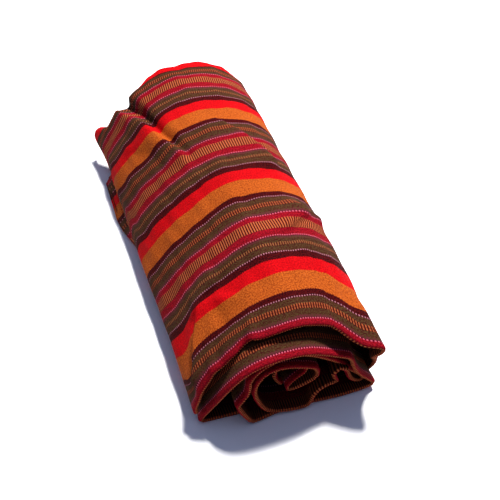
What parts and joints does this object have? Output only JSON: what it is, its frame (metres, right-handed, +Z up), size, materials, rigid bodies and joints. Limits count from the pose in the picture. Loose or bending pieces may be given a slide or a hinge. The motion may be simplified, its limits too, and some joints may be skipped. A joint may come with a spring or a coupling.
{
  "type": "rolled maasai shuka blanket",
  "caption": "Striped woven shoulder blanket, folded in three and rolled up loosely, lying on its side with one free edge along its flank.",
  "frame": {"origin": "middle of the bounding box, on the floor it rests on", "axes": "+Z up, +Y along the roll from the end that shows its turns to the far end, +X to the right of a viewer at that near end"},
  "size_m": [0.2576, 0.5178, 0.141],
  "materials": {
    "striped_cloth": "matte woven cloth with red, orange, maroon and olive brown stripes"
  },
  "bodies": {
    "root": {"blanket_roll": "striped_cloth", "loose_end": "striped_cloth"}
  },
  "joints": []
}
